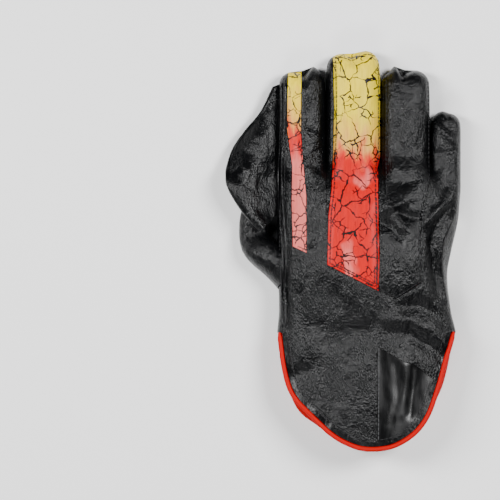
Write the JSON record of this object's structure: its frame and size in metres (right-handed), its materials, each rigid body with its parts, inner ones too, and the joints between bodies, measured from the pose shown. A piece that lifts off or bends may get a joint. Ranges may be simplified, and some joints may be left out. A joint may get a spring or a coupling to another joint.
{
  "type": "wicketkeeping glove",
  "caption": "Right-hand wicketkeeping glove lying palm down: leather back with crackle-print insets, pimpled rubber palm, thumb web and rounded gauntlet cuff with red piping.",
  "frame": {"origin": "on the flat of the palm, which is the rest face, below the middle of the hand", "axes": "+X from the thumb's side to the little finger's, +Y to the fingertips, +Z out of the back of the hand (up as it lies)"},
  "size_m": [0.177, 0.2989, 0.0455],
  "materials": {
    "black_leather": "satin, pebbled grain",
    "gloss_leather": "smooth and glossy",
    "printed_leather": "satin, crackle print from yellow at the tip to red",
    "pimpled_rubber": "matte, pimpled",
    "white_leather": "satin",
    "red_piping": "satin",
    "black_fabric": "matte weave"
  },
  "bodies": {
    "root": {"hand_back": "black_leather", "middle_strip": "black_leather", "ring_panel": "black_leather", "ring_strip": "black_leather", "crotch_patch": "black_leather", "wrist_strip": "black_leather", "cuff_front": "black_leather", "thumb_back": "black_leather", "web_back": "black_leather", "gauntlet_patch": "gloss_leather", "cuff_band_back": "gloss_leather", "cuff_band_front": "gloss_leather", "web_binding": "gloss_leather", "middle_panel": "printed_leather", "index_stripe": "printed_leather", "palm_rubber": "pimpled_rubber", "thumb_front": "pimpled_rubber", "palm_patch": "white_leather", "piping_back": "red_piping", "piping_front": "red_piping", "web_front": "black_fabric"}
  },
  "joints": []
}
